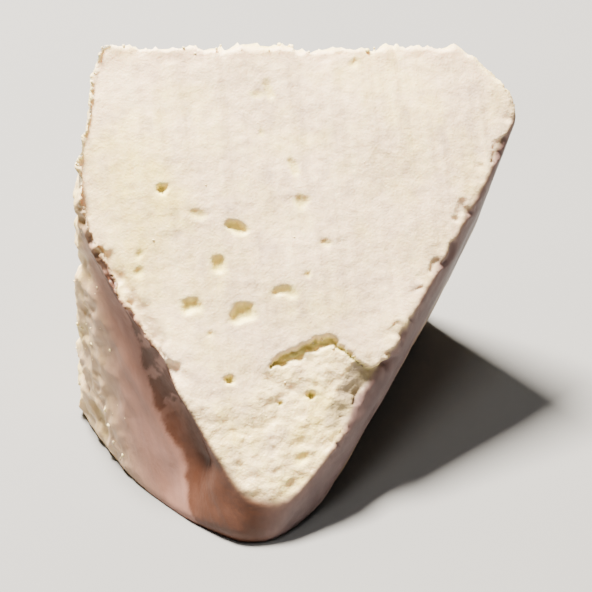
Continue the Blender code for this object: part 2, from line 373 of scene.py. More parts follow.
FACE_EYES = (
    Eye(-1.5, 56.0, 4.2, 2.5, -28, 1.1),
    Eye(-5.7, 48.6, 2.4, 3.6, 14, 1.0),
    Eye(-2.2, 38.6, 4.6, 3.6, 0, 1.1),
    Eye(-12.3, 41.4, 3.4, 3.3, 20, 0.9),
    Eye(6.7, 41.7, 4.8, 2.4, -20, 0.6),
    Eye(12.5, 59.4, 2.2, 2.8, -30, 0.45),
    Eye(11.8, 66.8, 1.5, 3.6, 8, 0.4),
    Eye(16.3, 50.6, 2.2, 1.5, 0, 0.4),
    Eye(-15.2, 65.3, 1.5, 1.8, 0, 1.2),
    Eye(-21.2, 52.7, 1.4, 1.7, 5, 0.45),
    Eye(-21.7, 49.4, 1.5, 2.0, 0, 0.45),
    Eye(6.6, 74.7, 1.2, 2.0, 0, 0.3),
    Eye(8.8, 82.9, 1.4, 3.6, 5, 0.3),
    Eye(6.4, 82.3, 2.4, 1.3, 0, 0.2),
    Eye(-8.8, 59.6, 3.2, 1.4, -25, 0.3),
    Eye(-6.7, 26.0, 1.5, 1.5, 0, 1.1),
    Eye(9.5, 21.0, 1.9, 1.6, 30, 1.1),
    Eye(3.2, 19.7, 1.1, 1.1, 0, 0.7),
    Eye(11.7, 45.0, 1.2, 1.2, 0, 0.4),
    Eye(-8.9, 35.1, 1.5, 1.2, 0, 0.4),
    Eye(5.7, 8.7, 2.8, 2.2, 20, 0.4),
    Eye(26.9, 86.7, 2.0, 1.4, 30, 0.3),
)


@dataclass(frozen=True)
class Crack:
    """The crack across the cut face, which gapes on the left and thins out to the right."""

    bends: tuple[tuple[float, float], ...] = (
        (1.5, 27.6), (3.4, 28.5), (5.0, 28.5), (7.3, 29.0), (10.2, 30.2), (13.1, 30.9),
        (15.3, 30.6), (17.3, 28.7), (18.8, 26.9), (20.3, 25.6), (22.4, 24.2), (25.3, 25.2),
        (28.0, 26.8),
    )
    width: float = 1.8
    depth: float = 1.3
    opens: tuple[float, float] = (1.5, 5.0)
    closes: tuple[float, float] = (14.5, 20.0)
    thinnest: float = 0.25
    lips: tuple[float, float] = (0.25, 0.75)

    def cover(self, u: np.ndarray, v: np.ndarray) -> tuple[np.ndarray, np.ndarray]:
        """Measure points against the crack.

        Args:
            u: Places across the face.
            v: Places up the face.

        Returns:
            How deep in the crack points lie from 0 to 1, and its depth there.
        """
        best = np.full(len(u), 1e9)
        width = np.full(len(u), self.width)
        for (u0, v0), (u1, v1) in zip(self.bends, self.bends[1:]):
            length = math.hypot(u1 - u0, v1 - v0)
            share = ((u - u0) * (u1 - u0) + (v - v0) * (v1 - v0)) / length ** 2
            share = np.clip(share, 0.0, 1.0)
            away = np.hypot(u - u0 - share * (u1 - u0), v - v0 - share * (v1 - v0))
            here = u0 + share * (u1 - u0)
            gape = smooth_step(*self.opens, here) * (1.0 - smooth_step(*self.closes, here))
            nearer = away < best
            best = np.where(nearer, away, best)
            widths = self.width * (self.thinnest + (1.0 - self.thinnest) * gape)
            width = np.where(nearer, widths, width)
        cover = 1.0 - smooth_step(*self.lips, best / width)
        return cover, self.depth * np.sqrt(width / self.width)

    def height(self, u: np.ndarray) -> np.ndarray:
        """Height of the crack over the face's width, between smooth and crumbly cheese."""
        return np.interp(u, [bend[0] for bend in self.bends], [bend[1] for bend in self.bends])


@dataclass(frozen=True)
class Bumps:
    """One kind of unevenness: height and width of its bumps, its pattern, its finer layers."""

    height: float
    size: float
    seed: int
    octaves: int = 3

    def at(self, points: np.ndarray) -> np.ndarray:
        """Heights of these bumps at points."""
        return self.height * swell(points, self.size, self.seed, self.octaves)


FACE_SWELL = Bumps(0.9, 26.0, 2, 2)
KNIFE_MARKS = Bumps(0.22, 3.0, 1)
CRUMBLY_CURDS = Bumps(0.6, 5.5, 3)
FACE_GRAIN = Bumps(0.1, 2.5, 4)
FACE_CRUMBS = Bumps(1.0, 1.3, 21)
RAGGED_ACROSS = Bumps(0.7, 2.2, 14)
RAGGED_UP = Bumps(0.7, 2.2, 15)
CRACK_CRUMBS = Bumps(0.5, 1.6, 16)
BACK_LUMPS = Bumps(1.5, 16.0, 5)
BACK_CRUMBS = Bumps(0.5, 4.0, 6)
BACK_GRAIN = Bumps(0.16, 1.5, 22)
SKIN_SLACK = Bumps(0.5, 14.0, 9, 2)
SKIN_FOLDS = Bumps(0.35, 4.0, 8)
CRAGS = Bumps(1.0, 9.0, 10)
CRAG_CRUMBS = Bumps(0.5, 3.5, 11)
CRAG_GRAIN = Bumps(0.15, 1.4, 23)
RIDGE_WAVES = Bumps(1.1, 13.0, 18, 2)
RIDGE_CRUMBS = Bumps(0.7, 4.0, 12)
RIDGE_GRAIN = Bumps(0.25, 1.3, 24)
FLAKES = Bumps(1.0, 6.0, 17)
FLAKE_CRUMBS = Bumps(0.5, 2.6, 13)
CHIPS = Bumps(1.0, 3.5, 25)
CHIP_CRUMBS = Bumps(0.2, 1.5, 26)
# Ragged edge and pale flakes of the painted shade under the left rim
BAND_EDGE = Bumps(1.0, 5.0, 31)
BAND_FLAKES = Bumps(1.0, 4.0, 32)


@dataclass
class Relief:
    """Everything that stands out of the rounded form or sinks into it, and what it means.

    Places across and up the cut face are u and v. A pair of sizes is the start and the end of a
    gradual change.
    """

    form: RoundedForm
    crack: Crack = Crack()
    face_point: tuple[float, float, float] = (-2.7, -38.7, 8.2)
    left_line: float = -15.0
    left_fall: float = 0.13
    fade_turns: tuple[float, float] = (-6.0, 3.0)
    fade_right: float = 2.0
    fade_left: float = 14.0
    fade_start: float = 0.5
    sunk_low: float = 0.3
    sunk_at_crack: float = 0.9
    sunk_below: float = 12.0
    sunk_from: tuple[float, float] = (1.0, 7.0)
    crumbs_smooth: float = 0.05
    crumbs_crumbly: float = 0.16
    mark_stretch: float = 0.08
    fold_stretch: float = 0.15
    crag_height: float = 1.3
    crag_sink: float = 0.8
    ridge_reach: float = 5.0
    rim_slant: float = 0.8
    flake_reach: float = 5.5
    flake_depth: float = 1.8
    flakes_from: tuple[float, float] = (24.0, 31.0)
    flake_edge: tuple[float, float] = (-0.15, 0.25)
    chip_reach: float = 3.0
    chip_depth: float = 0.7
    chips_from: tuple[float, float] = (3.0, 12.0)
    chip_edge: tuple[float, float] = (0.1, 0.4)
    facet_reach: float = 4.5
    facet_depth: float = 1.6
    facet_top: tuple[float, float] = (-0.5, 0.5)
    facet_from: tuple[float, float] = (12.0, 17.0)
    # Where the chipped facet below the crack gets its lilac painted shade
    facet_shade_ramp: tuple[float, float] = (0.02, 0.2)
    foot_fade: float = 3.0
    foot_least: float = 0.15
    back_eye_count: int = 26
    back_eye_sizes: tuple[float, float] = (1.6, 4.4)
    back_eye_gap: float = 5.5
    back_eye_depth: float = 0.45
    back_eye_ovals: tuple[float, float] = (0.6, 1.0)
    back_eye_turns: tuple[float, float] = (-60.0, 60.0)
    back_low: tuple[float, float] = (-34.0, 8.0)
    back_high: tuple[float, float] = (36.0, 74.0)
    halo: float = 2.8
    crack_tone: float = 1.5
    gaping_tone: float = 0.75
    yellow_edge: float = -21.0
    yellow_width: float = 8.0
    yellow_rise: tuple[float, float] = (36.0, 50.0)
    yellow_fade: tuple[float, float] = (74.0, 88.0)
    yellow_share: float = 0.8
    spot_place: tuple[float, float] = (-15.5, 66.0)
    spot_size: tuple[float, float] = (5.0, 7.0)
    spot_share: float = 0.6
    seed: int = 7
    pits: np.ndarray = field(init=False, default=None)
    crumbly: np.ndarray = field(init=False, default=None)
    rich: np.ndarray = field(init=False, default=None)
    chipped: np.ndarray = field(init=False, default=None)

    def back_eyes(self) -> list[Eye]:
        """Strew eyes over the back by a seeded draw.

        Returns:
            The eyes, with a gap between any two.
        """
        draw = np.random.default_rng(self.seed)
        eyes: list[Eye] = []
        while len(eyes) < self.back_eye_count:
            u, v = draw.uniform(self.back_low, self.back_high)
            size = draw.uniform(*self.back_eye_sizes)
            if all(math.hypot(u - eye.u, v - eye.v) > self.back_eye_gap for eye in eyes):
                height = size * draw.uniform(*self.back_eye_ovals)
                turn = draw.uniform(*self.back_eye_turns)
                eyes.append(Eye(u, v, size, height, turn, self.back_eye_depth * size))
        return eyes

    def face_places(self, points: np.ndarray) -> tuple[np.ndarray, np.ndarray, np.ndarray]:
        """Measure points from the face's own corner.

        Args:
            points: Places on the rounded form.

        Returns:
            Places across, up and out of the cut face.
        """
        face = self.form.cut("cut_face")
        across, up = face.frame_of()
        local = points - np.array(self.face_point)
        return local @ across, local @ up, local @ face.out

    def on_face(self, points: np.ndarray) -> np.ndarray:
        """Shape the cut face: knife marks above the crack, crumbly cheese below it.

        Args:
            points: Places on the rounded form.

        Returns:
            Millimetres outward.
        """
        u, v, _ = self.face_places(points)
        flat = np.stack((u, v, np.zeros(len(u))), axis=1)
        over_crack = v - self.crack.height(u)
        left = 1.0 - smooth_step(*self.fade_turns, u)
        fade = self.fade_right + (self.fade_left - self.fade_right) * left
        self.crumbly = 1.0 - smooth_step(0.0, 1.0, 1.0 + (over_crack - self.fade_start) / fade)
        marks = KNIFE_MARKS.at(flat * (1.0, self.mark_stretch, 1.0))
        relief = FACE_SWELL.at(flat) + marks * (1.0 - self.crumbly)
        at_crack = smooth_step(-self.sunk_below, 0.0, over_crack)
        sunk = self.sunk_low + (self.sunk_at_crack - self.sunk_low) * at_crack
        relief += self.crumbly * (CRUMBLY_CURDS.at(flat) - sunk * smooth_step(*self.sunk_from, u))
        relief -= self.left_fall * np.logaddexp(0.0, self.left_line - u)
        relief += FACE_GRAIN.at(flat)
        relief += (self.crumbs_smooth + self.crumbs_crumbly * self.crumbly) * FACE_CRUMBS.at(flat)
        self.rich = self.yellowing(u, v)
        return relief - self.holes(flat)

    def holes(self, flat: np.ndarray) -> np.ndarray:
        """Sink the eyes and the crack into the cut face, and keep where they are.

        Args:
            flat: Places across and up the face, with 0 as the third number.

        Returns:
            Millimetres inward.
        """
        u = flat[:, 0] + RAGGED_ACROSS.at(flat)
        v = flat[:, 1] + RAGGED_UP.at(flat)
        sunk = np.zeros(len(u))
        self.pits = np.zeros(len(u))
        for eye in FACE_EYES:
            sunk += eye.depth * eye.cover(u, v)
            self.pits = np.maximum(self.pits, eye.tone * eye.cover(u, v, self.halo))
        cover, depth = self.crack.cover(u, v)
        # Narrow stretches of the crack get the most tone, up to the dark olive that paints the shade
        # in the narrow crevice
        tone = self.crack_tone - self.gaping_tone * depth / self.crack.depth
        self.pits = np.maximum(self.pits, cover * tone)
        return sunk + depth * cover * (1.0 + CRACK_CRUMBS.at(flat))

    def yellowing(self, u: np.ndarray, v: np.ndarray) -> np.ndarray:
        """Find where the face is yellow: along its upper left edge and in one spot.

        Args:
            u: Places across the face.
            v: Places up the face.

        Returns:
            Values from 0 to 1.
        """
        edge = np.exp(-((u - self.yellow_edge) / self.yellow_width) ** 2)
        edge *= smooth_step(*self.yellow_rise, v) * (1.0 - smooth_step(*self.yellow_fade, v))
        across, up = self.spot_place
        width, height = self.spot_size
        spot = np.exp(-((u - across) / width) ** 2 - ((v - up) / height) ** 2)
        return np.clip(self.yellow_share * edge + self.spot_share * spot, 0.0, 1.0)

    def on_back(self, points: np.ndarray) -> np.ndarray:
        """Shape the torn back: broad lumps, small crumbs and eyes.

        Args:
            points: Places on the rounded form.

        Returns:
            Millimetres outward.
        """
        across, up = self.form.cut("back").frame_of()
        u = points @ across
        v = points @ up
        relief = BACK_LUMPS.at(points) + BACK_CRUMBS.at(points)
        relief += BACK_GRAIN.at(points)
        for eye in self.back_eyes():
            relief -= eye.depth * eye.cover(u, v)
        return relief

    def on_skin(self, points: np.ndarray) -> np.ndarray:
        """Shape the smooth skin: slack folds that run along the rim.

        Args:
            points: Places on the rounded form.

        Returns:
            Millimetres outward.
        """
        u, v, out = self.face_places(points)
        drawn_out = np.stack((self.fold_stretch * u, self.fold_stretch * v, out), axis=1)
        return SKIN_SLACK.at(points) + SKIN_FOLDS.at(drawn_out)

    def on_broken(self, points: np.ndarray) -> np.ndarray:
        """Shape the crags where the cheese was broken by hand.

        Args:
            points: Places on the rounded form.

        Returns:
            Millimetres outward.
        """
        ridged = 1.0 - 2.0 * np.abs(CRAGS.at(points))
        fine = CRAG_CRUMBS.at(points) + CRAG_GRAIN.at(points)
        return self.crag_height * ridged - self.crag_sink + fine

    def on_ridge(self, points: np.ndarray) -> np.ndarray:
        """Shape the ridge where the torn back meets the cut face.

        Args:
            points: Places on the rounded form.

        Returns:
            Millimetres outward.
        """
        face = -self.form.cut("cut_face").height_over(points)
        back = -self.form.cut("back").height_over(points)
        near = near_edge(face, back, self.ridge_reach)
        along = points * (1.0, 0.0, 0.0)
        return near * (RIDGE_WAVES.at(along) + RIDGE_CRUMBS.at(points) + RIDGE_GRAIN.at(points))

    def on_left_rim(self, points: np.ndarray) -> np.ndarray:
        """Break small flakes off the upper part of the left rim.

        Args:
            points: Places on the rounded form.

        Returns:
            Millimetres outward.
        """
        _, v, _ = self.face_places(points)
        drops = self.form.below_rim(points)
        skin = self.form.flare.stand_out(points[:, 2], np.maximum(drops, 0.0))
        inside = skin - self.form.cut("skin_left").height_over(points)
        near = near_edge(self.rim_slant * drops, inside, self.flake_reach)
        near *= smooth_step(*self.flakes_from, v)
        flakes = smooth_step(*self.flake_edge, FLAKES.at(points))
        return near * (FLAKE_CRUMBS.at(points) - self.flake_depth * flakes)

    def on_right_rim(self, points: np.ndarray) -> np.ndarray:
        """Chip the right rim along the knife's edge, and take a flake off below the crack.

        Args:
            points: Places on the rounded form.

        Returns:
            Millimetres outward.
        """
        u, v, _ = self.face_places(points)
        heights = [self.form.cut(name).height_over(points) for name in RIGHT_SKIN]
        inside = -np.max(heights, axis=0)
        drops = self.rim_slant * self.form.below_rim(points)
        near = near_edge(drops, inside, self.chip_reach) * smooth_step(*self.chips_from, v)
        chips = smooth_step(*self.chip_edge, CHIPS.at(points))
        below_crack = smooth_step(*self.facet_top, self.crack.height(u) - v)
        below_crack *= smooth_step(*self.facet_from, v)
        to_edge = np.clip(1.0 - np.maximum(drops, inside) / self.facet_reach, 0.0, 1.0)
        facet = below_crack * to_edge
        # Mask for the lilac painted shade on the chipped facet
        self.chipped = smooth_step(*self.facet_shade_ramp, facet)
        relief = near * (CHIP_CRUMBS.at(points) - self.chip_depth * chips)
        return relief - self.facet_depth * facet

    def heights(self, points: np.ndarray, shares: np.ndarray) -> np.ndarray:
        """Find how far each point stands out of the rounded form.

        Args:
            points: Places on the rounded form.
            shares: Each side's share in them.

        Returns:
            Millimetres outward.
        """
        face = self.form.share_of(shares, Zone.CUT)
        relief = face * self.on_face(points)
        self.pits = self.pits * face
        relief += self.form.share_of(shares, Zone.BACK) * self.on_back(points)
        relief += self.form.share_of(shares, Zone.SKIN) * self.on_skin(points)
        relief += self.form.share_of(shares, Zone.BROKEN) * self.on_broken(points)
        off_foot = smooth_step(0.0, self.foot_fade, points[:, 2])
        return relief * (self.foot_least + (1.0 - self.foot_least) * off_foot)

    def on_edges(self, points: np.ndarray) -> np.ndarray:
        """Find how the ridge and both rims are moved.

        Args:
            points: Places on the rounded form.

        Returns:
            Vectors in millimetres, each halfway between its edge's two sides.
        """
        face = self.form.cut("cut_face").out
        edges = {"back": self.on_ridge, "skin_left": self.on_left_rim,
                 "skin_right": self.on_right_rim}
        moved = np.zeros(points.shape)
        for name, stand_out in edges.items():
            both = face + self.form.cut(name).out
            moved += stand_out(points)[:, None] * both / np.linalg.norm(both)
        return moved * smooth_step(0.0, self.foot_fade, points[:, 2])[:, None]


Colour = tuple[float, float, float, float]
Socket = bpy.types.NodeSocket


class NodeSketch:
    """A short way of laying out the nodes of one material."""

    def __init__(self, name: str) -> None:
        """Start an empty material.

        Args:
            name: Its name.
        """
        self.material = bpy.data.materials.new(name)
        self.material.use_nodes = True
        self.tree = self.material.node_tree
        self.shader = self.tree.nodes["Principled BSDF"]

    def add(self, kind: str, settings: dict[str, object] | None = None,
            **inputs: object) -> bpy.types.Node:
        """Add a node.

        Args:
            kind: Its Blender type name without "ShaderNode".
            settings: Values of its own options.
            inputs: Values or sockets for its inputs, by name with _ for a space.

        Returns:
            The new node.
        """
        node = self.tree.nodes.new("ShaderNode" + kind)
        for key, value in (settings or {}).items():
            setattr(node, key, value)
        for key, value in inputs.items():
            self.put(node.inputs[key.replace("_", " ")], value)
        return node

    def put(self, socket: Socket, value: object) -> None:
        """Link a socket to an input, or set its value.

        Args:
            socket: The input.
            value: A socket, a number or a colour.
        """
        if isinstance(value, Socket):
            self.tree.links.new(value, socket)
        else:
            socket.default_value = value

    def maths(self, operation: str, *values: object) -> Socket:
        """Add a Math node.

        Args:
            operation: Blender's name of what it does.
            values: Up to three numbers or sockets.

        Returns:
            Its result.
        """
        node = self.add("Math", {"operation": operation})
        for socket, value in zip(node.inputs, values):
            self.put(socket, value)
        return node.outputs[0]

    def spread(self, value: object, low: float, high: float, start: float = 0.0,
               end: float = 1.0) -> Socket:
        """Stretch a value from one range to another, held at the ends.

        Args:
            value: The value.
            low: Where its range starts.
            high: Where its range ends.
            start: Result at and below the range's start.
            end: Result at and above its end.

        Returns:
            The result.
        """
        node = self.add("MapRange", Value=value, From_Min=low, From_Max=high,
                        To_Min=start, To_Max=end)
        return node.outputs["Result"]

    def blend(self, share: object, first: object, second: object) -> Socket:
        """Mix two colours.

        Args:
            share: Share of the second colour.
            first: A colour or a socket.
            second: Another.

        Returns:
            The mixed colour.
        """
        node = self.add("Mix", {"data_type": "RGBA"})
        self.put(node.inputs[0], share)
        self.put(node.inputs[6], first)
        self.put(node.inputs[7], second)
        return node.outputs[2]

    def attribute(self, name: str) -> Socket:
        """Read a number that the mesh stores at its points."""
        return self.add("Attribute", {"attribute_name": name}).outputs["Fac"]

    def millimetres(self) -> Socket:
        """Places on the object in millimetres."""
        place = self.add("TexCoord").outputs["Object"]
        return self.scaled(place, 1.0 / MM)

    def along(self, place: Socket, cut: Cut) -> list[Socket]:
        """Measure places along a side.

        Args:
            place: Places in millimetres.
            cut: The side.

        Returns:
            Places across, up and out of it.
        """
        parts = []
        for axis in (*cut.frame_of(), cut.out):
            node = self.add("VectorMath", {"operation": "DOT_PRODUCT"}, Vector=place)
            node.inputs[1].default_value = tuple(axis)
            parts.append(node.outputs["Value"])
        return parts

    def join(self, x: Socket, y: Socket, z: Socket) -> Socket:
        """Put three numbers together into one vector."""
        return self.add("CombineXYZ", X=x, Y=y, Z=z).outputs[0]

    def scaled(self, vector: Socket, factor: float | Socket) -> Socket:
        """Multiply a place or a colour by a factor."""
        return self.add("VectorMath", {"operation": "SCALE"}, Vector=vector, Scale=factor).outputs[0]

    def grain(self, place: Socket, size: float, detail: float = 3.0, rough: float = 0.55) -> Socket:
        """Noise whose features have about the given size in millimetres."""
        node = self.add("TexNoise", Vector=place, Scale=1.0 / size, Detail=detail, Roughness=rough)
        return node.outputs["Fac"]

    def bump(self, height: Socket, distance: float, strength: object,
             below: Socket | None = None) -> Socket:
        """Raise the surface by a height map.

        Args:
            height: The map.
            distance: Millimetres for a height of 1.
            strength: Share of it that is felt.
            below: Direction left by an earlier bump.

        Returns:
            The surface's new direction.
        """
        node = self.add("Bump", Height=height, Distance=distance * MM, Strength=strength)
        if below is not None:
            self.put(node.inputs["Normal"], below)
        return node.outputs["Normal"]


@dataclass(frozen=True)
class Mottle:
    """Soft patches: their size in millimetres, and the noise that they rise over.

    They rise from least to most while the noise rises from low to high.
    """

    size: float
    low: float = 0.3
    high: float = 0.7
    least: float = 0.0
    most: float = 1.0
    detail: float = 3.0
    rough: float = 0.55

    def over(self, sketch: NodeSketch, place: Socket) -> Socket:
        """Lay the patches over places in millimetres."""
        noise_value = sketch.grain(place, self.size, self.detail, self.rough)
        return sketch.spread(noise_value, self.low, self.high, self.least, self.most)


@dataclass(frozen=True)
class FineRelief:
    """Relief too fine for the mesh: its size and height in millimetres."""

    size: float
    height: float
    detail: float = 2.0
    rough: float = 0.55

    def over(self, sketch: NodeSketch, place: Socket, strength: Socket,
             below: Socket | None = None) -> Socket:
        """Raise it over places.

        Args:
            sketch: The material.
            place: Places in millimetres.
            strength: Share of it that is felt.
            below: Direction left by an earlier relief.

        Returns:
            The surface's new direction.
        """
        noise_value = sketch.grain(place, self.size, self.detail, self.rough)
        return sketch.bump(noise_value, self.height, strength, below)


@dataclass(frozen=True)
class CheeseFinish:
    """Moist curd on the cut and broken sides, a thin smooth skin on the others, with shade painted
    on: dark brown under the left rim and on the tip wall, greyish lilac along the right.
    """

    name: str = "cheese_finish"
    white: Colour = (0.97, 0.74, 0.475, 1.0)
    cream: Colour = (0.96, 0.765, 0.28, 1.0)
    smudge: Colour = (0.42, 0.31, 0.27, 1.0)
    straw: Colour = (0.92, 0.78, 0.22, 1.0)
    # Dark olive: the eyes' own yellow, darkened as painted shade in small deep eyes and along the
    # crack's narrow line
    olive_pit_shade: Colour = (0.27, 0.205, 0.10, 1.0)
    # The skin's own pinkish colour, darkened so that it also carries painted shade
    flank: Colour = (0.27, 0.13, 0.093, 1.0)
    flank_pale: Colour = (0.35, 0.185, 0.145, 1.0)
    # Painted shade: dark brown under the left rim and on the tip wall, for the shadow of the
    # overhanging rim with warm bounced light
    painted_tan_shade: Colour = (0.085, 0.029, 0.013, 1.0)
    # Painted shade: greyish lilac along the right wall, round the tip's right side and on the
    # chipped facet below the crack
    painted_lilac_shade: Colour = (0.145, 0.095, 0.094, 1.0)
    painted_lilac_shade_pale: Colour = (0.20, 0.14, 0.135, 1.0)
    patches: Mottle = Mottle(11.0, 0.45, 0.62, 0.0, 0.5)
    mottling: Mottle = Mottle(3.2, 0.35, 0.75)
    smudges: Mottle = Mottle(5.0, 0.52, 0.72, 0.0, 0.4, 3.0, 0.6)
    veil: Mottle = Mottle(3.5, 0.25, 0.75)
    # Patches in the painted shade: clouds on the left, strip on the right
    clouds: Mottle = Mottle(5.0, least=0.88)
    strip: Mottle = Mottle(4.0, detail=2.0)
    streaks: Mottle = Mottle(1.6, least=0.86, most=1.03)
    wetness: Mottle = Mottle(4.0, 0.35, 0.7, 0.44, 0.62)
    crumbly_rich: float = 0.6
    least_rich: float = 0.5
    mottled_rich: float = 0.7
    clear_eyes: float = 0.3
    straw_full: float = 0.8
    pit_shade_from: float = 0.7
    grain: FineRelief = FineRelief(0.5, 0.2)
    grain_strength: float = 0.5
    curds: FineRelief = FineRelief(1.9, 0.6, 3.0, 0.6)
    curd_strength: float = 0.25
    loose_curds: float = 0.45
    knife_marks: FineRelief = FineRelief(1.3, 0.3)
    knife_strength: float = 0.45
    folds: FineRelief = FineRelief(1.2, 0.4, 3.0)
    fold_strength: float = 0.45
    smoother_lilac: float = -0.3
    streak_stretch: float = 0.06
    rim_stretch: float = 0.35
    shine: float = 0.42
    light_in_curd: float = 0.35
    light_in_shade: float = 0.05
    light_reach: tuple[float, float, float] = (1.0, 0.8, 0.6)
    depth_of_light: float = 1.8

    def build(self, form: RoundedForm) -> bpy.types.Material:
        """Lay out the material.

        Args:
            form: The rounded form, whose cut face gives the knife's direction.

        Returns:
            The material, which reads the numbers that Chunk.shape stores at the mesh's points.
        """
        sketch = NodeSketch(self.name)
        place = sketch.millimetres()
        u, v, out = sketch.along(place, form.cut("cut_face"))
        streaks = sketch.join(u, sketch.maths("MULTIPLY", v, self.streak_stretch), out)
        across, up = (sketch.maths("MULTIPLY", axis, self.rim_stretch) for axis in (u, v))
        rim_lines = sketch.join(across, up, out)
        self.colours(sketch, place, streaks, rim_lines)
        self.surface(sketch, place, streaks, rim_lines)
        return sketch.material

    def colours(self, sketch: NodeSketch, place: Socket, streaks: Socket,
                rim_lines: Socket) -> None:
        """Colour the curd, its eyes and the skin, and paint shade on the skin.

        Args:
            sketch: The material.
            place: Places in millimetres.
            streaks: Places drawn out up the cut face.
            rim_lines: Places drawn out along the rim.
        """
        pit = sketch.attribute("pit")
        curd = sketch.blend(self.richness(sketch, place), self.white, self.cream)
        clear = sketch.spread(pit, 0.0, self.clear_eyes, 1.0, 0.0)
        smudged = sketch.maths("MULTIPLY", self.smudges.over(sketch, place), clear)
        curd = sketch.blend(smudged, curd, self.smudge)
        curd = sketch.blend(sketch.spread(pit, 0.0, self.straw_full), curd, self.straw)
        # Dark olive in small deep eyes and the crack's narrow line is painted shade
        curd = sketch.blend(sketch.spread(pit, self.pit_shade_from, 1.0), curd, self.olive_pit_shade)
        # Skin colour: its own pink, darkened as painted shade
        skin = sketch.blend(self.veil.over(sketch, rim_lines), self.flank, self.flank_pale)
        colour = sketch.blend(sketch.attribute("skin"), curd, skin)
        # Painted shade under the left rim and on the tip wall, broken into clouds
        painted_tan_shade = sketch.maths("MULTIPLY", sketch.attribute("painted_tan_shade"), self.clouds.over(sketch, place))
        colour = sketch.blend(painted_tan_shade, colour, self.painted_tan_shade)
        # Greyish lilac painted shade along the right, past the tip and on the chipped facet
        strip = sketch.blend(self.strip.over(sketch, place), self.painted_lilac_shade, self.painted_lilac_shade_pale)
        colour = sketch.blend(sketch.attribute("painted_lilac_shade"), colour, strip)
        streaked = sketch.scaled(colour, self.streaks.over(sketch, streaks))
        sketch.put(sketch.shader.inputs["Base Color"], streaked)

    def richness(self, sketch: NodeSketch, place: Socket) -> Socket:
        """Find how far the curd turns from white to cream.

        Args:
            sketch: The material.
            place: Places in millimetres.

        Returns:
            Values of about 0 to 1, in patches and where the mesh says so.
        """
        crumbly, rich = sketch.attribute("crumbly"), sketch.attribute("rich")
        rich = sketch.maths("MULTIPLY_ADD", crumbly, self.crumbly_rich, rich)
        rich = sketch.maths("ADD", rich, self.patches.over(sketch, place))
        mottled = self.mottling.over(sketch, place)
        mottled = sketch.maths("MULTIPLY_ADD", mottled, self.mottled_rich, self.least_rich)
        return sketch.maths("MULTIPLY", rich, mottled)

    def surface(self, sketch: NodeSketch, place: Socket, streaks: Socket,
                rim_lines: Socket) -> None:
        """Set shine, fine relief and the light that sinks in.

        Args:
            sketch: The material.
            place: Places in millimetres.
            streaks: Places drawn out up the cut face.
            rim_lines: Places drawn out along the rim.
        """
        shader = sketch.shader
        skin = sketch.attribute("skin")
        bare = sketch.maths("SUBTRACT", 1.0, skin)
        sketch.put(shader.inputs["Roughness"], self.wetness.over(sketch, place))
        strength = sketch.maths("MULTIPLY", bare, self.grain_strength)
        relief = self.grain.over(sketch, place, strength)
        crumbly = sketch.attribute("crumbly")
        loose = sketch.maths("MULTIPLY_ADD", crumbly, self.loose_curds, self.curd_strength)
        strength = sketch.maths("MULTIPLY", bare, loose)
        relief = self.curds.over(sketch, place, strength, relief)
        strength = sketch.maths("MULTIPLY", bare, self.knife_strength)
        relief = self.knife_marks.over(sketch, streaks, strength, relief)
        painted_lilac_shade = sketch.attribute("painted_lilac_shade")
        smooth = sketch.maths("MULTIPLY_ADD", painted_lilac_shade, self.smoother_lilac, self.fold_strength)
        strength = sketch.maths("MULTIPLY", skin, smooth)
        relief = self.folds.over(sketch, rim_lines, strength, relief)
        sketch.put(shader.inputs["Normal"], relief)
        # Less light sinks in where shade is painted
        dark = sketch.maths("MAXIMUM", sketch.attribute("painted_tan_shade"), painted_lilac_shade)
        light = sketch.spread(dark, 0.0, 1.0, self.light_in_curd, self.light_in_shade)
        sketch.put(shader.inputs["Subsurface Weight"], light)
        shader.inputs["Subsurface Radius"].default_value = self.light_reach
        shader.inputs["Subsurface Scale"].default_value = self.depth_of_light * MM
        shader.inputs["Specular IOR Level"].default_value = self.shine


@dataclass(frozen=True)
class FloorFinish:
    """Pale matt floor with a faint unevenness of tone."""

    name: str = "pale_floor"
    light: Colour = (0.215, 0.215, 0.215, 1.0)
    dark: Colour = (0.20, 0.20, 0.20, 1.0)
    clouds_per_metre: float = 9.0
    cloud_range: tuple[float, float] = (0.3, 0.7)
    roughness: float = 0.85

    def build(self) -> bpy.types.Material:
        """Lay out the material.

        Returns:
            The material.
        """
        sketch = NodeSketch(self.name)
        place = sketch.add("TexCoord").outputs["Object"]
        clouds = sketch.add("TexNoise", Vector=place, Scale=self.clouds_per_metre, Detail=3.0)
        tone = sketch.spread(clouds.outputs["Fac"], *self.cloud_range)
        sketch.put(sketch.shader.inputs["Base Color"], sketch.blend(tone, self.light, self.dark))
        sketch.shader.inputs["Roughness"].default_value = self.roughness
        return sketch.material


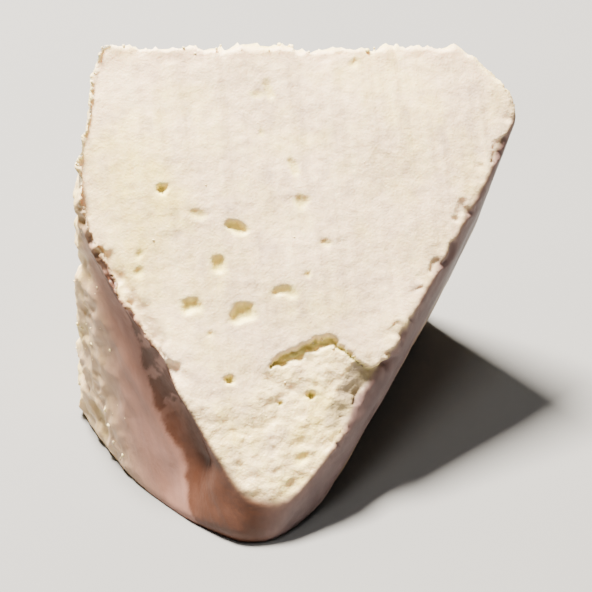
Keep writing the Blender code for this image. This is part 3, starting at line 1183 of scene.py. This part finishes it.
@dataclass
class Chunk:
    """The cheese itself, as one fine closed skin.

    A pair of sizes is the start and the end of a gradual change.
    """

    form: RoundedForm = RoundedForm()
    finish: CheeseFinish = CheeseFinish()
    box_centre: tuple[float, float, float] = (0.0, 0.9, 0.0)
    rough_voxel: float = 2.0
    fine_voxel: float = 0.57
    base_snap: float = 0.12
    base_share: float = 0.5
    least_side: float = 0.1
    crumbs_above: float = 2.0
    block: float = 300.0
    # The left chip takes part of the skin's colour: partly the pinkish wall running on, partly
    # painted shade
    chip_skin_and_shade: float = 0.5
    # Share of the lilac painted shade on the chipped facet below the crack
    chip_lilac_shade: float = 0.6
    # The right wall turns paler lower down, where its skin colour, darkened as painted shade, gives
    # way to the curd's
    paler_low_right: float = 0.5
    paler_low_from: tuple[float, float] = (8.0, 18.0)
    # Painted shade under the left rim: its width, narrower where the rim is high, its ragged and
    # blurred edge, and pale flakes high up
    band: float = 15.0
    band_top: float = 8.0
    band_turns: tuple[float, float] = (33.0, 46.0)
    band_ragged: float = 1.4
    band_blur: tuple[float, float] = (-0.5, 0.5)
    flake_edge: tuple[float, float] = (0.05, 0.2)
    flakes_from: tuple[float, float] = (18.0, 26.0)
    flake_pale: float = 0.8
    # Painted shade on the tip wall: where it starts, its ragged edge, and where it gives way to the
    # lilac painted shade past the tip
    tip_start: float = -19.3
    tip_ragged: float = 0.5
    tip_blur: tuple[float, float] = (-0.6, 0.6)
    tip_turns: tuple[float, float] = (-8.0, 2.0)
    # Strength of the lilac painted shade: at the right rim, rising below it and falling lower down
    lilac_at_rim: float = 0.65
    lilac_rise: tuple[float, float] = (0.0, 5.0)
    lilac_fall: tuple[float, float] = (8.0, 20.0)
    lilac_change: float = 0.35
    ridge_loose: float = 2.0
    back_loose: float = 0.5
    crumbly_loose: float = 0.04
    broken_loose: float = 0.16
    face_loose: float = 0.004
    relief: Relief = field(init=False)
    loose: np.ndarray = field(init=False, default=None)

    def __post_init__(self) -> None:
        """Make the relief that belongs to the form."""
        self.relief = Relief(self.form)

    def trimmed_block(self) -> bpy.types.Mesh:
        """Cut the straight-sided block out of a larger box, side by side.

        Returns:
            The block, closed.
        """
        solid = bmesh.new()
        bmesh.ops.create_cube(solid, size=self.block * MM)
        knives = [(np.zeros(3), np.array((0.0, 0.0, -1.0)))]
        for cut in self.form.cuts:
            side = cut
            if cut.name == "skin_left":
                flare = self.form.flare
                side = Cut(cut.name, cut.zone, cut.azimuth, flare.lean, cut.reach + flare.out)
            knives.append((side.out * side.offset * MM, side.out))
        for place, out in knives:
            everything = solid.verts[:] + solid.edges[:] + solid.faces[:]
            bmesh.ops.bisect_plane(solid, geom=everything, plane_co=Vector(place),
                                   plane_no=Vector(out), clear_outer=True)
            rim = [edge for edge in solid.edges if edge.is_boundary]
            bmesh.ops.contextual_create(solid, geom=rim)
        bmesh.ops.recalc_face_normals(solid, faces=solid.faces[:])
        mesh = bpy.data.meshes.new("chunk")
        solid.to_mesh(mesh)
        solid.free()
        return mesh

    def even_out(self, item: bpy.types.Object, voxel: float) -> None:
        """Give the object an even skin of small squares.

        Args:
            item: The object, whose mesh is replaced.
            voxel: Size of the squares in millimetres.
        """
        skin = item.modifiers.new("Even skin", "REMESH")
        skin.mode = "VOXEL"
        skin.voxel_size = voxel * MM
        graph = bpy.context.evaluated_depsgraph_get()
        result = bpy.data.meshes.new_from_object(item.evaluated_get(graph))
        item.modifiers.clear()
        item.data = result

    def shape(self, mesh: bpy.types.Mesh) -> None:
        """Give the settled mesh its relief and store what its places mean.

        Args:
            mesh: The mesh, close to the rounded form.
        """
        settled = self.form.settle(read_points(mesh))
        _, shares = self.form.weights(settled)
        heights = self.relief.heights(settled, shares)
        points = settled + heights[:, None] * self.form.normals(shares)
        points += self.relief.on_edges(settled)
        points[shares[0] > self.base_share, 2] = 0.0
        points[points[:, 2] < self.base_snap, 2] = 0.0
        points -= np.array(self.box_centre)
        low, high = (np.array(corner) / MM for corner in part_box(NODE))
        write_points(mesh, np.clip(points, low, high))
        self.loose = self.looseness(settled, shares) * (points[:, 2] > self.crumbs_above)
        shares = shares / np.maximum(1.0 - shares[0], self.least_side)
        face = self.form.share_of(shares, Zone.CUT)
        chip = self.form.named_share(shares, ("chip_left",))
        right = self.form.named_share(shares, RIGHT_SKIN)
        # Paler lower down the right wall: less of the darkened skin colour
        under = right * smooth_step(*self.paler_low_from, self.form.below_rim(settled))
        skin = self.form.share_of(shares, Zone.SKIN) + self.chip_skin_and_shade * chip
        store_number(mesh, "skin", skin - self.paler_low_right * under)
        store_number(mesh, "pit", self.relief.pits)
        store_number(mesh, "crumbly", 1.0 - face * (1.0 - self.relief.crumbly))
        store_number(mesh, "rich", face * self.relief.rich)
        # Where shade is painted, dark brown and greyish lilac
        painted_tan_shade, painted_lilac_shade = self.painted_shade_masks(settled, shares)
        store_number(mesh, "painted_tan_shade", painted_tan_shade)
        store_number(mesh, "painted_lilac_shade", painted_lilac_shade)

    def looseness(self, points: np.ndarray, shares: np.ndarray) -> np.ndarray:
        """Find where crumbs cling.

        Args:
            points: Places on the rounded form.
            shares: Each side's share in them.

        Returns:
            Chance of a crumb at each point, as a share of the highest.
        """
        u, v, _ = self.relief.face_places(points)
        face = self.form.share_of(shares, Zone.CUT)
        cut, back = self.form.cut("cut_face"), self.form.cut("back")
        ridge = near_edge(-cut.height_over(points), -back.height_over(points), self.ridge_loose)
        cover, _ = self.relief.crack.cover(u, v)
        lips = 4.0 * cover * (1.0 - cover)
        broken = self.form.share_of(shares, Zone.BROKEN)
        broken = broken + self.back_loose * self.form.share_of(shares, Zone.BACK)
        chance = ridge + face * lips + self.crumbly_loose * (face * self.relief.crumbly)
        return chance + self.broken_loose * broken + self.face_loose * face

    def painted_shade_masks(self, points: np.ndarray, shares: np.ndarray) -> tuple[np.ndarray, np.ndarray]:
        """Find where shade is painted: dark brown on the left and round the tip, greyish lilac on
        the right.

        Args:
            points: Places on the rounded form.
            shares: Each side's share in them.

        Returns:
            Both from 0 to 1: painted shade under the left rim and on the tip wall, and greyish lilac
                painted shade along the right and on the chipped facet below the crack.
        """
        _, v, _ = self.relief.face_places(points)
        ragged = BAND_EDGE.at(points)
        below = self.form.below_rim(points)
        drops = below + self.band_ragged * ragged
        high_rim = smooth_step(*self.band_turns, points[:, 2] + below)
        width = self.band + (self.band_top - self.band) * high_rim
        band = 1.0 - smooth_step(*self.band_blur, drops - width)
        # Pale flakes break the painted shade high on the wall
        flakes = smooth_step(*self.flake_edge, BAND_FLAKES.at(points))
        band = band * (1.0 - self.flake_pale * (flakes * smooth_step(*self.flakes_from, v)))
        past_start = points[:, 0] - self.tip_start + self.tip_ragged * ragged
        near_tip = smooth_step(*self.tip_blur, past_start)
        past_tip = smooth_step(*self.tip_turns, points[:, 0])
        left = self.form.named_share(shares, LEFT_SKIN)
        right = self.form.named_share(shares, RIGHT_SKIN)
        face = self.form.share_of(shares, Zone.CUT)
        # Painted shade on the left skin: the band under the rim and the tip wall
        painted_tan_shade = left * np.maximum(band, near_tip) * (1.0 - past_tip)
        # Lilac painted shade, strongest a little below the right rim, also past the tip and on the
        # chipped facet
        rise = self.lilac_change * smooth_step(*self.lilac_rise, drops)
        shade = self.lilac_at_rim + rise - self.lilac_change * smooth_step(*self.lilac_fall, drops)
        painted_lilac_shade = shade * (right + left * past_tip) + self.chip_lilac_shade * face * self.relief.chipped
        return painted_tan_shade, np.clip(painted_lilac_shade, 0.0, 1.0)

    def build(self) -> bpy.types.Object:
        """Returns:
            Its object.
        """
        item = bpy.data.objects.new("chunk", self.trimmed_block())
        bpy.context.scene.collection.objects.link(item)
        for voxel in (self.rough_voxel, self.fine_voxel):
            self.even_out(item, voxel)
            write_points(item.data, self.form.settle(read_points(item.data)))
        self.shape(item.data)
        item.data.materials.clear()
        item.data.materials.append(self.finish.build(self.form))
        item.data.shade_smooth()
        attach(item, "root")
        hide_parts(NODE)
        LOG.info("chunk: %d faces", len(item.data.polygons))
        return item


@dataclass(frozen=True)
class Crumbs:
    """Crumbs that cling to the ridge, the crack's lips and the broken sides."""

    count: int = 420
    sizes: tuple[float, float] = (0.3, 1.3)
    thinnest: float = 0.45
    roughness: float = 0.35
    smaller: float = 2.2
    lift: float = -0.08
    seed: int = 11

    def pebble(self) -> tuple[np.ndarray, np.ndarray]:
        """Make a ball of radius 1.

        Returns:
            Its points and its triangles.
        """
        ball = bmesh.new()
        bmesh.ops.create_icosphere(ball, subdivisions=2, radius=1.0)
        points = np.array([vertex.co[:] for vertex in ball.verts])
        faces = np.array([[vertex.index for vertex in face.verts] for face in ball.faces])
        ball.free()
        return points, faces

    def one(self, ball: np.ndarray, draw: np.random.Generator) -> np.ndarray:
        """Shape one crumb.

        Args:
            ball: Points of a ball of radius 1.
            draw: Source of chance.

        Returns:
            The crumb's points round the origin, in millimetres.
        """
        low, high = self.sizes
        radius = 0.5 * low * (high / low) ** (draw.random() ** self.smaller)
        bumps = 1.0 + self.roughness * swell(ball + draw.uniform(-40.0, 40.0, 3), 1.1, 41, 2)
        sides = radius * np.array((1.0, draw.uniform(0.6, 1.0), draw.uniform(self.thinnest, 0.9)))
        turn, _ = np.linalg.qr(draw.normal(size=(3, 3)))
        return (ball * bumps[:, None] * sides) @ turn.T

    def build(self, chunk: Chunk, item: bpy.types.Object) -> bpy.types.Object:
        """Strew the crumbs over the chunk.

        Args:
            chunk: The chunk, which knows where it is loose.
            item: Its object.

        Returns:
            All crumbs as one object.
        """
        draw = np.random.default_rng(self.seed)
        places = read_points(item.data)
        normals = np.array([vertex.normal[:] for vertex in item.data.vertices])
        chance = chunk.loose / chunk.loose.sum()
        spots = draw.choice(len(places), self.count, replace=False, p=chance)
        ball, triangles = self.pebble()
        points, faces = [], []
        for number, spot in enumerate(spots):
            crumb = self.one(ball, draw)
            points.append(crumb + places[spot] + self.lift * normals[spot])
            faces.append(triangles + number * len(ball))
        low, high = (np.array(corner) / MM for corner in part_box(NODE))
        mesh = bpy.data.meshes.new("crumbs")
        points = np.clip(np.concatenate(points), low, high)
        mesh.from_pydata((points * MM).tolist(), [], np.concatenate(faces).tolist())
        mesh.shade_smooth()
        store_number(mesh, "crumbly", np.ones(len(points)))
        mesh.materials.append(item.data.materials[0])
        result = bpy.data.objects.new("crumbs", mesh)
        bpy.context.scene.collection.objects.link(result)
        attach(result, "root")
        LOG.info("crumbs: %d", self.count)
        return result


def read_points(mesh: bpy.types.Mesh) -> np.ndarray:
    """Read where a mesh's vertices are.

    Args:
        mesh: The mesh.

    Returns:
        Their places in millimetres.
    """
    flat = np.empty(3 * len(mesh.vertices))
    mesh.vertices.foreach_get("co", flat)
    return flat.reshape(-1, 3) / MM


def write_points(mesh: bpy.types.Mesh, points: np.ndarray) -> None:
    """Put vertex places in millimetres back into a mesh."""
    mesh.vertices.foreach_set("co", (points * MM).ravel())
    mesh.update()


def store_number(mesh: bpy.types.Mesh, name: str, values: np.ndarray) -> None:
    """Store one number for each vertex under a name."""
    layer = mesh.attributes.new(name, "FLOAT", "POINT")
    layer.data.foreach_set("value", values.astype(np.float32))


@dataclass(frozen=True)
class SoftLight:
    """One square light that faces the chunk.

    Its azimuth is in degrees round +Z from +X, its elevation in degrees above the floor, its
    distance and size in millimetres and its power in watts.
    """

    name: str
    azimuth: float
    elevation: float
    distance: float
    size: float
    power: float
    colour: tuple[float, float, float]
    aim: tuple[float, float, float] = (0.0, 0.0, 35.0)

    def hang(self) -> bpy.types.Object:
        """Hang the light.

        Returns:
            Its object.
        """
        data = bpy.data.lights.new(self.name, "AREA")
        data.shape = "SQUARE"
        data.size = self.size * MM
        data.energy = self.power
        data.color = self.colour
        item = bpy.data.objects.new(self.name, data)
        towards = Vector(direction(self.azimuth, self.elevation))
        item.location = (Vector(self.aim) + self.distance * towards) * MM
        item.rotation_euler = towards.to_track_quat("Z", "Y").to_euler()
        bpy.context.scene.collection.objects.link(item)
        return item


@dataclass
class Studio:
    """Pale floor, soft lights and the camera at the photograph's angle."""

    aim: tuple[float, float, float] = (0.64, -7.64, 36.2)
    distance: float = 450.0
    elevation: float = 36.0
    lens: float = 135.0
    sensor: float = 36.0
    nearest: float = 10.0
    floor_half: float = 1500.0
    finish: FloorFinish = FloorFinish()
    sky: Colour = (1.0, 0.975, 0.95, 1.0)
    sky_strength: float = 0.08
    lights: tuple[SoftLight, ...] = (
        SoftLight("key", 132.0, 68.0, 900.0, 240.0, 88.0, (1.0, 0.93, 0.82)),
        SoftLight("top", -95.0, 82.0, 1000.0, 300.0, 3.0, (1.0, 0.97, 0.92)),
    )

    def floor(self) -> bpy.types.Object:
        """Lay the floor just under the chunk.

        Returns:
            Its object.
        """
        plane = bmesh.new()
        bmesh.ops.create_grid(plane, x_segments=1, y_segments=1, size=self.floor_half * MM)
        mesh = bpy.data.meshes.new("floor")
        plane.to_mesh(mesh)
        plane.free()
        item = bpy.data.objects.new("floor", mesh)
        bpy.context.scene.collection.objects.link(item)
        mesh.materials.append(self.finish.build())
        return item

    def camera(self) -> bpy.types.Object:
        """Set the camera up at the photograph's angle.

        Returns:
            Its object.
        """
        tilt = math.radians(self.elevation)
        data = bpy.data.cameras.new("camera")
        data.lens = self.lens
        data.sensor_width = self.sensor
        data.clip_start = self.nearest * MM
        item = bpy.data.objects.new("camera", data)
        back = Vector((0.0, -math.cos(tilt), math.sin(tilt)))
        item.location = (Vector(self.aim) + self.distance * back) * MM
        item.rotation_euler = (math.radians(90.0) - tilt, 0.0, 0.0)
        bpy.context.scene.collection.objects.link(item)
        bpy.context.scene.camera = item
        return item

    def surroundings(self) -> None:
        """Fill the world with an even pale light."""
        world = bpy.data.worlds.new("surroundings")
        world.use_nodes = True
        light = world.node_tree.nodes["Background"]
        light.inputs["Color"].default_value = self.sky
        light.inputs["Strength"].default_value = self.sky_strength
        bpy.context.scene.world = world

    def build(self) -> None:
        """Set the whole studio up."""
        self.floor()
        self.camera()
        for light in self.lights:
            light.hang()
        self.surroundings()
        LOG.info("studio: floor, camera and %d lights", len(self.lights))


def main() -> None:
    """Build the chunk and its studio, and log the chunk's faces, the crumbs and the lights."""
    logging.basicConfig(level=logging.INFO, format="%(name)s: %(message)s")
    chunk = Chunk()
    Crumbs().build(chunk, chunk.build())
    Studio().build()


if __name__ == "__main__":
    main()
